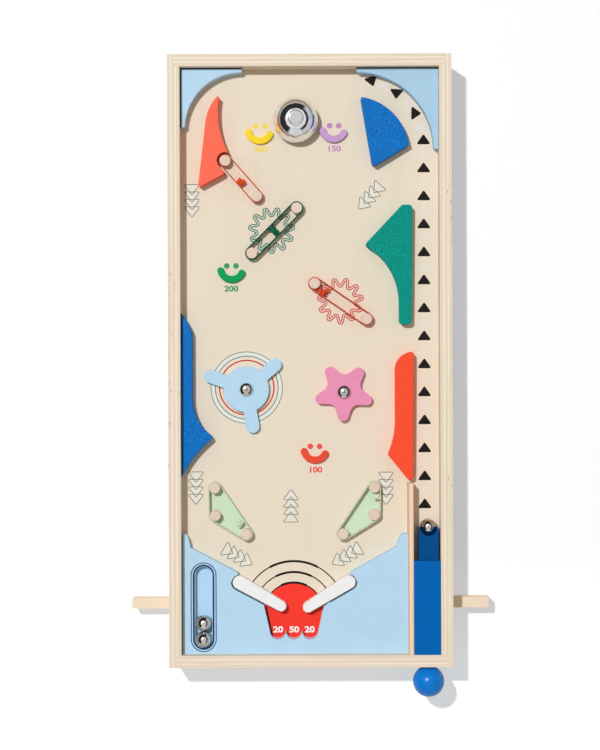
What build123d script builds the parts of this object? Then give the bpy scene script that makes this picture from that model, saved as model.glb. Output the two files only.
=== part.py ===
"""Tabletop pinball game: a shallow plywood tray with flippers, a spring plunger and bumpers.

Millimetres, +X to the right, +Y towards the rear (the far end for the player), +Z up.
The origin is the middle of the underside, on the surface that the game stands on.
"""
import math
import os

from build123d import *

# Cabinet: the playing field, the wall above it and the room for the drive below it
field_width = 222.5
field_length = 576.0
play_depth = 21.0
drive_room = 32.0
rail_thickness = 12.0
corner_rabbet = 6.0
playfield_thickness = 4.0
groove_depth = 4.0
base_thickness = 3.0
base_rabbet = 6.0
panel_play = 0.2
glue_gap = 0.05
running_gap = 0.1
edge_round = 0.8

# Launch lane along the right rail
lane_width = 26.5
divider_thickness = 5.0
divider_past_fin = 3.2
cover_thickness = 4.0
cover_length = 91.9

# Flat painted pieces on the playing surface
fin_thickness = 12.0
apron_thickness = 10.0
smile_thickness = 4.0
spinner_thickness = 5.0
star_thickness = 6.5

# Corner guides at the rear
guide_tip = 4.8
guide_tip_round = 2.2
left_guide_reach = (61.0, 58.8)
right_guide_reach = (80.5, 80.5)
turn_width = 24.2
sector_flat = 0.9

# Pegs and their elastic bands
peg_radius = 5.4
peg_height = 10.0
peg_chamfer = 0.5
band_thickness = 1.2
band_width = 6.0
band_lift = 2.2
knot_length = 6.0
knot_depth = 3.2
notch_gap = 1.3

# Bell
bell_across = 0.511
bell_from_rear = 51.4
bell_radius = 21.8
bell_lift = 7.5
bell_skirt = 4.0
bell_height = 20.0
bell_wall = 1.2
bell_crown_radius = 8.2
bell_post_radius = 4.0
bell_post_foot_radius = 8.0
bell_post_foot = 2.0
bell_stud_radius = 2.0
bell_cap_radius = 7.4
bell_cap_height = 2.6

# Smiling ball catchers
smile_radius = 11.2
smile_width = 6.7
smile_half_angle = 70.0
smile_tilt = -6.5

# Turning targets
spinner_along = -0.097
spinner_fin_gap = 9.1
spinner_hub_radius = 22.6
spinner_arm_reach = 37.2
spinner_arm_width = 13.2
spinner_arms = 3
spinner_turn = 40.0
star_across = 0.7205
star_along = -0.1073
star_points = 5
star_turn = 52.0
star_reach = 43.0
star_valley = 15.2
star_tip_round = 5.4
star_valley_round = 8.5
pivot_radius = 2.5
pivot_head_radius = 6.65
pivot_head_height = 3.4
pivot_head_side = 2.1
pivot_rim_round = 1.9
washer_radius = 6.5
washer_thickness = 0.6

# Flippers and what drives them
flipper_spread = {"left": 54.7, "right": 53.1}
flipper_from_front = 70.1
flipper_length = 47.2
flipper_heel_radius = 6.6
flipper_toe_radius = 5.2
flipper_thickness = 9.5
flipper_lift = 1.0
flipper_rest_angle = {"left": 29.8, "right": 31.4}
flipper_swing = 50.0
flipper_apron_gap = 1.0
flipper_shaft_radius = 4.0
flipper_shaft_in_flipper = 6.0
bearing_thickness = 4.0
bearing_side = 26.0
crank_radius = 24.4
crank_thickness = 5.5
crank_heel_radius = 7.0
crank_toe_radius = 5.5
crank_play = 0.5
crank_pin_radius = 2.0

# Push rods through the side rails
rod_width = 10.8
rod_height = 11.0
rod_crank_gap = 0.45
rod_reach = 39.5
rod_slide_gap = 0.3
rod_end_round = 1.5
rod_past_pin = 9.0
rod_slot_gap = 0.35
rod_slot_end_gap = 0.5
rod_collar_thickness = 3.0
rod_collar_side = 20.0
rod_guide_thickness = 7.0
rod_guide_wall = 4.0
rod_guide_gap = 2.4
rod_spring_radius = 9.2
rod_spring_wire = 1.0
rod_spring_turns = 4

# Spring plunger
plunger_from_rail = 11.6
plunger_width = 19.2
plunger_lift = 0.5
plunger_tip_from_front = 124.0
plunger_length = 72.0
plunger_notch_radius = 8.3
plunger_shaft_radius = 4.0
plunger_shaft_in_block = 16.0
plunger_shaft_in_knob = 13.0
plunger_spring_radius = 5.6
plunger_spring_wire = 1.2
plunger_spring_turns = 7
knob_radius = 15.4
knob_rest_gap = 0.3
spring_end_gap = 0.2

# Apron at the player's end, with its ball tray and score pocket
apron_horn_top = 117.7
apron_horn_width = {"left": 4.6, "right": 5.8}
apron_slope_start = {"left": (8.2, 104.6), "right": (10.9, 105.1)}
apron_slope_end = {"left": (56.8, 80.2), "right": (55.3, 80.2)}
tray_from_rail = 21.3
tray_width = 19.5
tray_front = 4.9
tray_rear = 87.0
tray_chamfer = 1.5
tray_floor = 1.5
pocket_shift = -1.0
pocket_top_half_width = 29.8
pocket_top = 47.0
pocket_lobe_radius = 8.0
pocket_lobe_line = 22.0
pocket_lobes = 3

# Steel balls
ball_radius = 8.0
ball_gap = 0.1
lane_ball_gap = 0.6

# Fold-out rear stand
stand_width = 150.0
stand_length = 52.0
stand_thickness = 6.0
stand_from_rear = 26.0
stand_axis_height = 7.0
stand_side_gap = 1.0
stand_lean = 10.0
stand_stop_gap = 0.3
stand_pin_radius = 2.0
stand_block_width = 14.0
stand_block_depth = 18.0
stand_block_top = 14.0
finger_notch_radius = 12.0

# Screws that hold the base panel
screw_radius = 1.5
screw_length = 10.0
screw_head_radius = 2.5
screw_head_depth = 1.6
side_screws_at = (-255.0, -130.0, 0.0, 130.0, 255.0)
end_screws_at = (-75.0, 75.0)

# Faces and lines that follow from the sizes above
frame_width = field_width + divider_thickness + lane_width + 2 * rail_thickness
frame_length = field_length + 2 * rail_thickness
playfield_bottom = base_thickness + drive_room
playfield_top = playfield_bottom + playfield_thickness
frame_height = playfield_top + play_depth
right = frame_width / 2 - rail_thickness
left = -right
rear = frame_length / 2 - rail_thickness
front = -rear
lane_left = right - lane_width
divider_left = lane_left - divider_thickness
field_x = (left + divider_left) / 2

os.makedirs("parts", exist_ok=True)


def write(name, shape):
    """Write one node."""
    export_step(shape, f"parts/{name}.step")


def block(x0, x1, y0, y1, z0, z1):
    """A box between two corners."""
    size = Box(x1 - x0, y1 - y0, z1 - z0)
    return Pos((x0 + x1) / 2, (y0 + y1) / 2, (z0 + z1) / 2) * size


def post(spot, z0, z1, radius):
    """An upright round post."""
    return Pos(spot[0], spot[1], (z0 + z1) / 2) * Cylinder(radius, z1 - z0)


def plate(face, z0, thickness):
    """A flat outline raised to a board."""
    return extrude(Pos(0, 0, z0) * face, thickness)


def ease_top(solid, radius=edge_round):
    """Round the upper edges of a board."""
    return fillet(solid.edges().group_by(Axis.Z)[-1], radius)


def round_corners(face, corners):
    """Round single corners of a flat outline, given as (point, radius)."""
    for point, radius in corners:
        corner = face.vertices().sort_by_distance((point[0], point[1], 0))[0]
        face = fillet(corner, radius)
    return face


def taper(start, start_radius, end, end_radius):
    """The outline of two circles with a band drawn round them."""
    circles = [Pos(*start) * Circle(start_radius), Pos(*end) * Circle(end_radius)]
    return make_hull([edge for circle in circles for edge in circle.edges()])


def loop(spots, radius):
    """The outline of a band drawn round pegs."""
    circles = [Pos(*spot) * Circle(radius) for spot in spots]
    return make_hull([edge for circle in circles for edge in circle.edges()])


def polar(center, radius, degrees):
    """A point at a distance and a direction from a centre."""
    turn = math.radians(degrees)
    return (center[0] + radius * math.cos(turn), center[1] + radius * math.sin(turn))


def across(share):
    """A place across the field, from its left wall."""
    return left + share * field_width


def along(share):
    """A place along the field, from its middle towards the rear."""
    return share * field_length / 2


def biarc(start, start_way, end, end_way):
    """Two arcs that join two points, tangent to the directions given there."""
    span = end - start
    ways = start_way + end_way
    along = span.dot(ways)
    spare = 4 - ways.dot(ways)
    reach = (math.sqrt(along * along + spare * span.dot(span)) - along) / spare
    middle = (start + start_way * reach + end - end_way * reach) * 0.5
    first = Edge.make_tangent_arc(start, start_way, middle)
    return [first, Edge.make_tangent_arc(middle, first.tangent_at(1), end)]


def coil(radius, length, turns, wire):
    """An open spring along +Z from 0 to its length, one unbroken wire."""
    quarters = 4 * turns
    rise = (length - wire) / quarters
    points = []
    ways = []
    for step in range(quarters + 1):
        turn = math.pi / 2 * step
        points.append(Vector(radius * math.cos(turn), radius * math.sin(turn), wire / 2 + rise * step))
        arc = radius * math.pi / 2
        way = Vector(-arc * math.sin(turn), arc * math.cos(turn), rise)
        ways.append(way.normalized())
    edges = []
    for step in range(quarters):
        edges += biarc(points[step], ways[step], points[step + 1], ways[step + 1])
    section = Plane(origin=points[0], z_dir=ways[0]) * Circle(wire / 2)
    print(f"coil of {turns} turns: least gap to itself {4 * rise - wire:.2f} mm")
    return sweep(section, path=Wire(edges))


# Rods, flippers and plunger: the places that several pieces share
flipper_y = front + flipper_from_front
flipper_bottom = playfield_top + flipper_lift
bearing_bottom = playfield_bottom - bearing_thickness
crank_top = bearing_bottom - glue_gap - crank_play
crank_bottom = crank_top - crank_thickness
half_swing = flipper_swing / 2
crank_sag = crank_radius * (1 - math.cos(math.radians(half_swing)))
rod_y = flipper_y - crank_radius + crank_sag / 2
rod_top = crank_bottom - rod_crank_gap
rod_bottom = rod_top - rod_height
rod_z = rod_top - rod_height / 2
crank_throw = crank_radius * math.sin(math.radians(half_swing))
widest_spread = max(flipper_spread.values())
rod_guide_room = field_width / 2 - widest_spread - crank_throw - crank_toe_radius - rod_guide_gap
rod_spring_length = rod_guide_room - rod_guide_thickness - rod_collar_thickness - rod_slide_gap
plunger_x = right - plunger_from_rail
plunger_room = play_depth - cover_thickness
plunger_z = playfield_top + plunger_room / 2
plunger_height = plunger_room - 2 * plunger_lift
plunger_tip_y = front + plunger_tip_from_front
plunger_heel_y = plunger_tip_y - plunger_length
knob_y = -frame_length / 2 - knob_rest_gap - knob_radius
tray_x = left + tray_from_rail
stand_y = rear - stand_from_rear
turn_at = (right - right_guide_reach[0], rear - right_guide_reach[1])

# Pegs of each bumper; the knot of its band lies on the run from the first peg to the second
bumpers = {
    "orange": [(left + 44.0, rear - 90.6), (left + 74.9, rear - 125.8)],
    "green": [(across(0.3146), along(0.3688)), (across(0.5137), along(0.5229))],
    "red": [(across(0.5919), along(0.2646)), (across(0.8220), along(0.1424))],
    "left_mint": [(field_x - 47.6, along(-0.5927)), (field_x - 78.6, along(-0.4340)),
                  (field_x - 78.3, along(-0.5278))],
    "right_mint": [(field_x + 78.3, along(-0.5278)), (field_x + 78.6, along(-0.4340)),
                   (field_x + 47.6, along(-0.5927))],
}
knot_share = {"orange": 0.55, "green": 0.5, "red": 0.18, "left_mint": 0.22, "right_mint": 0.65}
smiles = {"yellow": (across(0.3506), rear - 59.3), "purple": (across(0.6791), rear - 58.0),
          "green": (across(0.2243), along(0.3194)), "red": (across(0.5915), along(-0.3014))}
blue_fin_width = 11.0
spinner_reach = spinner_arm_reach + spinner_arm_width / 2
spinner_at = (left + blue_fin_width + spinner_fin_gap + spinner_reach, along(spinner_along))
star_at = (across(star_across), along(star_along))
bell_at = (across(bell_across), rear - bell_from_rear)
green_fin_y = along(0.3285)
red_fin_y = along(-0.197)
red_fin_end = 66.8
blue_fin_y = along(-0.1155)
flipper_at = {"left": (field_x - flipper_spread["left"], flipper_y),
              "right": (field_x + flipper_spread["right"], flipper_y)}
side_sign = {"left": -1, "right": 1}


# Base screws, countersunk into the panel from below
def screw(x, y):
    """One countersunk wood screw, head down, flush with the underside."""
    head = Pos(x, y, screw_head_depth / 2) * Cone(screw_head_radius, screw_radius, screw_head_depth)
    return head + post((x, y), screw_head_depth, screw_length, screw_radius)


screw_line = base_rabbet / 2
base_screws = [screw(side * (right + screw_line), y) for side in (-1, 1) for y in side_screws_at]
base_screws += [screw(x, end * (rear + screw_line)) for end in (-1, 1) for x in end_screws_at]
write("base_screws", Compound(children=base_screws))


# Four plywood rails: grooved for the playfield, rabbeted for the base and at the corners
def side_rail(side):
    """A full-length side rail, cut away at both ends for the end rails."""
    rail = block(right, frame_width / 2, -frame_length / 2, frame_length / 2, 0, frame_height)
    for end in (-1, 1):
        y0, y1 = sorted((end * rear, end * frame_length))
        rail -= block(0, right + corner_rabbet, y0, y1, -1, frame_height + 1)
    rail -= block(0, right + groove_depth, front, rear, playfield_bottom, playfield_top)
    rail -= block(0, right + base_rabbet, front, rear, -1, base_thickness)
    rail -= block(0, frame_width, rod_y - rod_width / 2 - rod_slide_gap,
                  rod_y + rod_width / 2 + rod_slide_gap,
                  rod_bottom - rod_slide_gap, rod_top + rod_slide_gap)
    rail = rail if side > 0 else mirror(rail, Plane.YZ)
    return rail - base_screws


def end_rail(end):
    """A rail between the side rails, seated in their rabbets."""
    half = right + corner_rabbet
    rail = block(-half, half, rear, frame_length / 2, 0, frame_height)
    rail -= block(-half, half, 0, rear + groove_depth, playfield_bottom, playfield_top)
    rail -= block(-half, half, 0, rear + base_rabbet, -1, base_thickness)
    rail = rail if end > 0 else mirror(rail, Plane.XZ)
    return rail - base_screws


write("side_rail_left", side_rail(-1))
write("side_rail_right", side_rail(1))
write("rear_rail", end_rail(1))
plunger_line = Pos(plunger_x, -frame_length / 2, plunger_z) * Rot(90, 0, 0)
front_rail = end_rail(-1) - plunger_line * Cylinder(plunger_shaft_radius + running_gap, frame_length / 4)
write("front_rail", front_rail)

# Playfield board, let into the grooves, with its peg and pivot holes
playfield_half_x = right + groove_depth - panel_play
playfield_half_y = rear + groove_depth - panel_play
playfield = block(-playfield_half_x, playfield_half_x, -playfield_half_y, playfield_half_y,
                  playfield_bottom, playfield_top)
board_span = (playfield_bottom - 1, playfield_top + 1)
peg_spots = [spot for spots in bumpers.values() for spot in spots]
for spot in peg_spots:
    playfield -= post(spot, *board_span, peg_radius + glue_gap)
for spot in (spinner_at, star_at):
    playfield -= post(spot, *board_span, pivot_radius + glue_gap)
for spot in flipper_at.values():
    playfield -= post(spot, *board_span, flipper_shaft_radius + running_gap)
playfield -= post(bell_at, *board_span, bell_stud_radius + glue_gap)
write("playfield_board", playfield)

# Base panel with the recess that the stand folds into
stand_half_width = stand_width / 2
stand_back = stand_y + (stand_axis_height * math.tan(math.radians(stand_lean))
                        + stand_thickness / 2 / math.cos(math.radians(stand_lean)) + stand_stop_gap)
recess_front = stand_y - stand_length - stand_side_gap
base_half_x = right + base_rabbet - panel_play
base_half_y = rear + base_rabbet - panel_play
base_panel = block(-base_half_x, base_half_x, -base_half_y, base_half_y, 0, base_thickness)
base_panel -= block(-stand_half_width - stand_side_gap, stand_half_width + stand_side_gap,
                    recess_front, stand_back, -1, base_thickness + 1)
base_panel -= post((0, recess_front), -1, base_thickness + 1, finger_notch_radius)
write("base_panel", base_panel - base_screws)

# Fold-out stand on a steel pin between two blocks
stand = block(-stand_half_width, stand_half_width, stand_y - stand_length, stand_y,
              stand_axis_height - stand_thickness / 2, stand_axis_height + stand_thickness / 2)
stand_line = Pos(0, stand_y, stand_axis_height) * Rot(0, 90, 0)
stand += stand_line * Cylinder(stand_thickness / 2, stand_width)
stand -= stand_line * Cylinder(stand_pin_radius + running_gap, stand_width)
stand_tips = stand.edges().filter_by(Axis.X).group_by(Axis.Y)[0]
write("rear_stand", fillet(stand_tips, stand_thickness / 3))
block_inner = stand_half_width + stand_side_gap
block_outer = block_inner + stand_block_width
stand_blocks = []
for side in (-1, 1):
    x0, x1 = sorted((side * block_inner, side * block_outer))
    bearer = block(x0, x1, stand_y - stand_block_depth / 2, stand_y + stand_block_depth / 2,
                   base_thickness, stand_block_top)
    bearer -= stand_line * Cylinder(stand_pin_radius + glue_gap, 2 * block_outer)
    stand_blocks.append(bearer)
write("stand_blocks", Compound(children=stand_blocks))
write("stand_pin", stand_line * Cylinder(stand_pin_radius, 2 * block_outer))


# Corner guides: a square corner with a hollow quarter-round face
def corner_guide(side, reach):
    """A guide in one rear corner with two legs, their tips rounded."""
    wall = side * right
    tip_y = rear - guide_tip
    tip_x = wall - side * guide_tip
    end_x = wall - side * reach[0]
    end_y = rear - reach[1]
    hollow = sum(reach) / 2 - guide_tip
    bend = guide_tip + hollow * (1 - math.cos(math.radians(45)))
    face = make_face([
        Line((wall, end_y), (wall, rear)),
        Line((wall, rear), (end_x, rear)),
        Line((end_x, rear), (end_x, tip_y)),
        ThreePointArc((end_x, tip_y), (wall - side * bend, rear - bend), (tip_x, end_y)),
        Line((tip_x, end_y), (wall, end_y)),
    ])
    corners = [((end_x, tip_y), guide_tip_round), ((tip_x, end_y), guide_tip_round)]
    return ease_top(plate(round_corners(face, corners), playfield_top, fin_thickness))


write("corner_guide_left", corner_guide(-1, left_guide_reach))
write("corner_guide_right", corner_guide(1, right_guide_reach))


# Fins: each outline is drawn from the wall or lane line that it keeps to
def fin(anchor, curves, corners):
    """A painted board from an outline, with some of its corners rounded."""
    face = round_corners(make_face(curves), corners)
    return plate(Pos(*anchor) * face, playfield_top, fin_thickness)


orange_fin = fin((left, rear), [
    TangentArc((24.9, -53.0), (39.7, -24.6), tangent=(7.7, 65.0)),
    Line((24.9, -53.0), (17.2, -118.0)),
    Line((17.2, -118.0), (42.5, -104.4)),
    Line((42.5, -104.4), (47.7, -84.0)),
    ThreePointArc((47.7, -84.0), (38.6, -57.0), (39.7, -24.6)),
], [((39.7, -24.6), 1.6), ((17.2, -118.0), 2.0)])
peg_notch = plate(loop(bumpers["orange"], peg_radius + band_thickness + notch_gap), playfield_top - 1,
                  fin_thickness + 2)
write("orange_fin", ease_top(orange_fin - peg_notch))

sector_radius = sum(right_guide_reach) / 2 - guide_tip - turn_width
sector_start = polar((0, 0), sector_radius + sector_flat / 2, 85.7)
sector_bend = polar((0, 0), sector_radius - sector_flat, 43.5)
sector_end = polar((0, 0), sector_radius, 4.7)
sector_corner = (15.6, -17.4)
blue_sector = fin(turn_at, [
    ThreePointArc(sector_start, sector_bend, sector_end),
    Line(sector_end, sector_corner),
    Line(sector_corner, sector_start),
], [(sector_start, 1.8), (sector_end, 1.2), (sector_corner, 2.5)])
write("blue_sector", ease_top(blue_sector))

green_fin = fin((lane_left, green_fin_y), [
    Line((0.4, 58.4), (-9.6, 58.4)),
    Line((-9.6, 58.4), (-47.0, 18.8)),
    TangentArc((-12.8, -37.2), (-47.0, 18.8), tangent=(0, 1)),
    Line((-12.8, -37.2), (-12.8, -59.2)),
    Line((-12.8, -59.2), (-0.8, -59.2)),
    Line((-0.8, -59.2), (0.4, 58.4)),
], [((0.4, 58.4), 3.0), ((-9.6, 58.4), 4.0), ((-47.0, 18.8), 3.0),
    ((-12.8, -59.2), 4.0), ((-0.8, -59.2), 4.0)])
write("green_fin", ease_top(green_fin))

red_fin = fin((lane_left, red_fin_y), [
    TangentArc((-17.0, 47.0), (1.5, 65.5), tangent=(0, 1)),
    Line((-17.0, 47.0), (-17.0, -2.5)),
    TangentArc((-17.0, -2.5), (-24.4, -35.9), tangent=(0, -1)),
    Line((-24.4, -35.9), (0.4, -red_fin_end)),
    Line((0.4, -red_fin_end), (1.5, 65.5)),
], [((1.5, 65.5), 3.0), ((-24.4, -35.9), 3.5), ((0.4, -red_fin_end), 3.4)])
write("red_fin", ease_top(red_fin))

blue_fin = fin((left, blue_fin_y), [
    ThreePointArc((blue_fin_width, 61.0), (6.3, 71.3), (0.0, 80.25)),
    Line((blue_fin_width, 61.0), (blue_fin_width, -2.75)),
    TangentArc((blue_fin_width, -2.75), (31.8, -42.0), tangent=(0, -1)),
    ThreePointArc((31.8, -42.0), (16.2, -56.55), (0.0, -80.25)),
    Line((0.0, -80.25), (0.0, 80.25)),
], [((blue_fin_width, 61.0), 6.0), ((31.8, -42.0), 2.0)])
write("blue_fin", ease_top(blue_fin))

# Apron: sloping shoulders, flipper recesses, scalloped pocket and ball tray
apron_half = divider_left - field_x


def half_apron(side):
    """The right half of the apron's outline, with the sizes of one side."""
    horn_end = (apron_half - apron_horn_width[side], apron_horn_top)
    slope_start = (apron_half - apron_slope_start[side][0], apron_slope_start[side][1])
    slope_end = apron_slope_end[side]
    heel = (flipper_spread[side], flipper_from_front)
    pocket_corner = (pocket_top_half_width, pocket_top)
    horn_bend = ((horn_end[0] + slope_start[0]) / 2 - 0.8, (horn_end[1] + slope_start[1]) / 2 - 0.4)
    face = make_face([
        Line((0, 0), (apron_half, 0)),
        Line((apron_half, 0), (apron_half, apron_horn_top)),
        Line((apron_half, apron_horn_top), horn_end),
        ThreePointArc(horn_end, horn_bend, slope_start),
        Line(slope_start, slope_end),
        Line(slope_end, heel),
        Line(heel, pocket_corner),
        Line(pocket_corner, (0, pocket_top)),
        Line((0, pocket_top), (0, 0)),
    ])
    toe = polar(heel, flipper_length, 180 + flipper_rest_angle[side])
    return round_corners(face, [(horn_end, 2.0)]) - taper(
        heel, flipper_heel_radius + flipper_apron_gap, toe, flipper_toe_radius + flipper_apron_gap)


apron_face = half_apron("right") + mirror(half_apron("left"), Plane.YZ)
lobe_reach = pocket_lobe_radius * pocket_lobes
pocket_face = make_face(Polyline((-pocket_top_half_width, pocket_top + 1), (-lobe_reach, pocket_lobe_line),
                                 (lobe_reach, pocket_lobe_line), (pocket_top_half_width, pocket_top + 1),
                                 close=True))
for lobe in range(pocket_lobes):
    lobe_x = (2 * lobe + 1 - pocket_lobes) * pocket_lobe_radius
    pocket_face += Pos(lobe_x, pocket_lobe_line) * Circle(pocket_lobe_radius)
apron_face -= Pos(pocket_shift, 0) * pocket_face
apron = plate(Pos(field_x, front) * apron_face, playfield_top, apron_thickness)
tray_at = Pos(tray_x, front + (tray_rear + tray_front) / 2, playfield_top + tray_floor) * Rot(0, 0, 90)
tray_length = tray_rear - tray_front
apron -= tray_at * extrude(SlotOverall(tray_length - 2 * tray_chamfer, tray_width - 2 * tray_chamfer),
                           apron_thickness)
apron_top = playfield_top + apron_thickness
mouth = extrude(SlotOverall(tray_length, tray_width), -2 * tray_chamfer, taper=45)
apron -= Pos(0, 0, apron_top - playfield_top - tray_floor) * tray_at * mouth
write("apron", apron)

# Launch lane: the divider strip and the cover over the plunger
divider_end = red_fin_y - red_fin_end + divider_past_fin
write("lane_divider", block(divider_left, lane_left, front, divider_end, playfield_top, frame_height))
cover = block(lane_left, right, front, front + cover_length, frame_height - cover_thickness, frame_height)
write("launcher_cover", ease_top(cover))

# Pegs, glued through the playfield, and the elastic bands drawn round them
peg_top = playfield_top + peg_height
pegs = []
for spot in peg_spots:
    dowel = post(spot, playfield_bottom, peg_top, peg_radius)
    pegs.append(chamfer(dowel.edges().group_by(Axis.Z)[-1], peg_chamfer))
write("bumper_pegs", Compound(children=pegs))


def band(spots, share):
    """A flat elastic band round two or three pegs, with the knot that closes it."""
    ring = loop(spots, peg_radius + glue_gap + band_thickness) - loop(spots, peg_radius + glue_gap)
    a, b = Vector(*spots[0]), Vector(*spots[1])
    along = (b - a).normalized()
    inward = Vector(-along.Y, along.X)
    seat = a + (b - a) * share - inward * (peg_radius + band_thickness / 2 - knot_depth / 2)
    turn = math.degrees(math.atan2(along.Y, along.X))
    lump = Pos(seat.X, seat.Y) * Rot(0, 0, turn) * RectangleRounded(knot_length, knot_depth, knot_depth / 3)
    return plate(ring + lump, playfield_top + band_lift, band_width)


for name, spots in bumpers.items():
    write(f"elastic_band_{name}", band(spots, knot_share[name]))

# Smiling ball catchers: a round-ended arc that cups a ball
smile_arc = CenterArc((0, 0), smile_radius, -90 - smile_half_angle, 2 * smile_half_angle)
for name, spot in smiles.items():
    smile_face = Pos(*spot) * Rot(0, 0, smile_tilt) * SlotArc(smile_arc, smile_width)
    write(f"smile_catcher_{name}", ease_top(plate(smile_face, playfield_top, smile_thickness)))

# Bell: a spun dome on a footed post, held by a round cap
bell_rim = playfield_top + bell_lift
bell_top = bell_rim + bell_height


def dome_curve(inset):
    """The dome's half section from its skirt to its crown, set in from the outside."""
    skirt_top = (bell_radius - inset, bell_rim + bell_skirt)
    return TangentArc(skirt_top, (bell_crown_radius, bell_top - inset), tangent=(0, 1))


outer_curve = dome_curve(0)
inner_curve = dome_curve(bell_wall)
stud_hole = bell_stud_radius + glue_gap
bell_face = make_face([
    Line((bell_radius, bell_rim), outer_curve @ 0),
    outer_curve,
    Line(outer_curve @ 1, (stud_hole, bell_top)),
    Line((stud_hole, bell_top), (stud_hole, bell_top - bell_wall)),
    Line((stud_hole, bell_top - bell_wall), inner_curve @ 1),
    inner_curve,
    Line(inner_curve @ 0, (bell_radius - bell_wall, bell_rim)),
    Line((bell_radius - bell_wall, bell_rim), (bell_radius, bell_rim)),
])
bell_place = Pos(*bell_at)
write("bell_dome", bell_place * revolve(Plane.XZ * bell_face, Axis.Z))
post_top = bell_top - bell_wall
bell_post = post(bell_at, playfield_top, post_top, bell_post_radius)
bell_post += post(bell_at, playfield_top, playfield_top + bell_post_foot, bell_post_foot_radius)
bell_post += post(bell_at, playfield_bottom, bell_top + bell_cap_height / 2, bell_stud_radius)
write("bell_post", bell_post)
bell_cap = post(bell_at, bell_top, bell_top + bell_cap_height, bell_cap_radius)
bell_cap = fillet(bell_cap.edges().group_by(Axis.Z)[-1], bell_cap_height / 2)
write("bell_cap", bell_cap - post(bell_at, bell_top - 1, bell_top + bell_cap_height / 2 + glue_gap,
                                  bell_stud_radius + glue_gap))

# Turning targets on pan-headed pivots, each over a washer
turning_bottom = playfield_top + washer_thickness + running_gap
spinner_face = Circle(spinner_hub_radius)
for arm in range(spinner_arms):
    reach = Pos(spinner_arm_reach / 2, 0) * SlotCenterToCenter(spinner_arm_reach, spinner_arm_width)
    spinner_face += Rot(0, 0, spinner_turn + 360 / spinner_arms * arm) * reach
star_corners = []
for corner in range(2 * star_points):
    radius = star_valley if corner % 2 else star_reach
    star_corners.append(polar((0, 0), radius, star_turn + 180 / star_points * corner))
star_rounds = [(corner, star_valley_round if number % 2 else star_tip_round)
               for number, corner in enumerate(star_corners)]
star_face = round_corners(make_face(Polyline(*star_corners, close=True)), star_rounds)


def turning_target(face, spot, thickness):
    """A board that spins on a pivot."""
    board = ease_top(plate(Pos(*spot) * face, turning_bottom, thickness))
    return board - post(spot, turning_bottom - 1, turning_bottom + thickness + 1, pivot_radius + running_gap)


def pivot(spot, thickness):
    """A screw with a round pan head, fixed in the playfield."""
    head_bottom = turning_bottom + thickness + running_gap
    crown = (0, pivot_head_height)
    rim = (pivot_head_radius, pivot_head_side)
    face = make_face([
        Line((0, 0), (pivot_head_radius, 0)),
        Line((pivot_head_radius, 0), rim),
        TangentArc(crown, rim, tangent=(1, 0)),
        Line(crown, (0, 0)),
    ])
    face = round_corners(face, [(rim, pivot_rim_round)])
    head = Pos(spot[0], spot[1], head_bottom) * revolve(Plane.XZ * face, Axis.Z)
    return head + post(spot, playfield_bottom, head_bottom, pivot_radius)


write("spinner", turning_target(spinner_face, spinner_at, spinner_thickness))
write("star", turning_target(star_face, star_at, star_thickness))
write("spinner_pivot", pivot(spinner_at, spinner_thickness))
write("star_pivot", pivot(star_at, star_thickness))
washers = []
for spot in (spinner_at, star_at):
    washer = post(spot, playfield_top, playfield_top + washer_thickness, washer_radius)
    washers.append(washer - post(spot, playfield_top - 1, turning_bottom, pivot_radius + glue_gap))
write("pivot_washers", Compound(children=washers))

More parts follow.
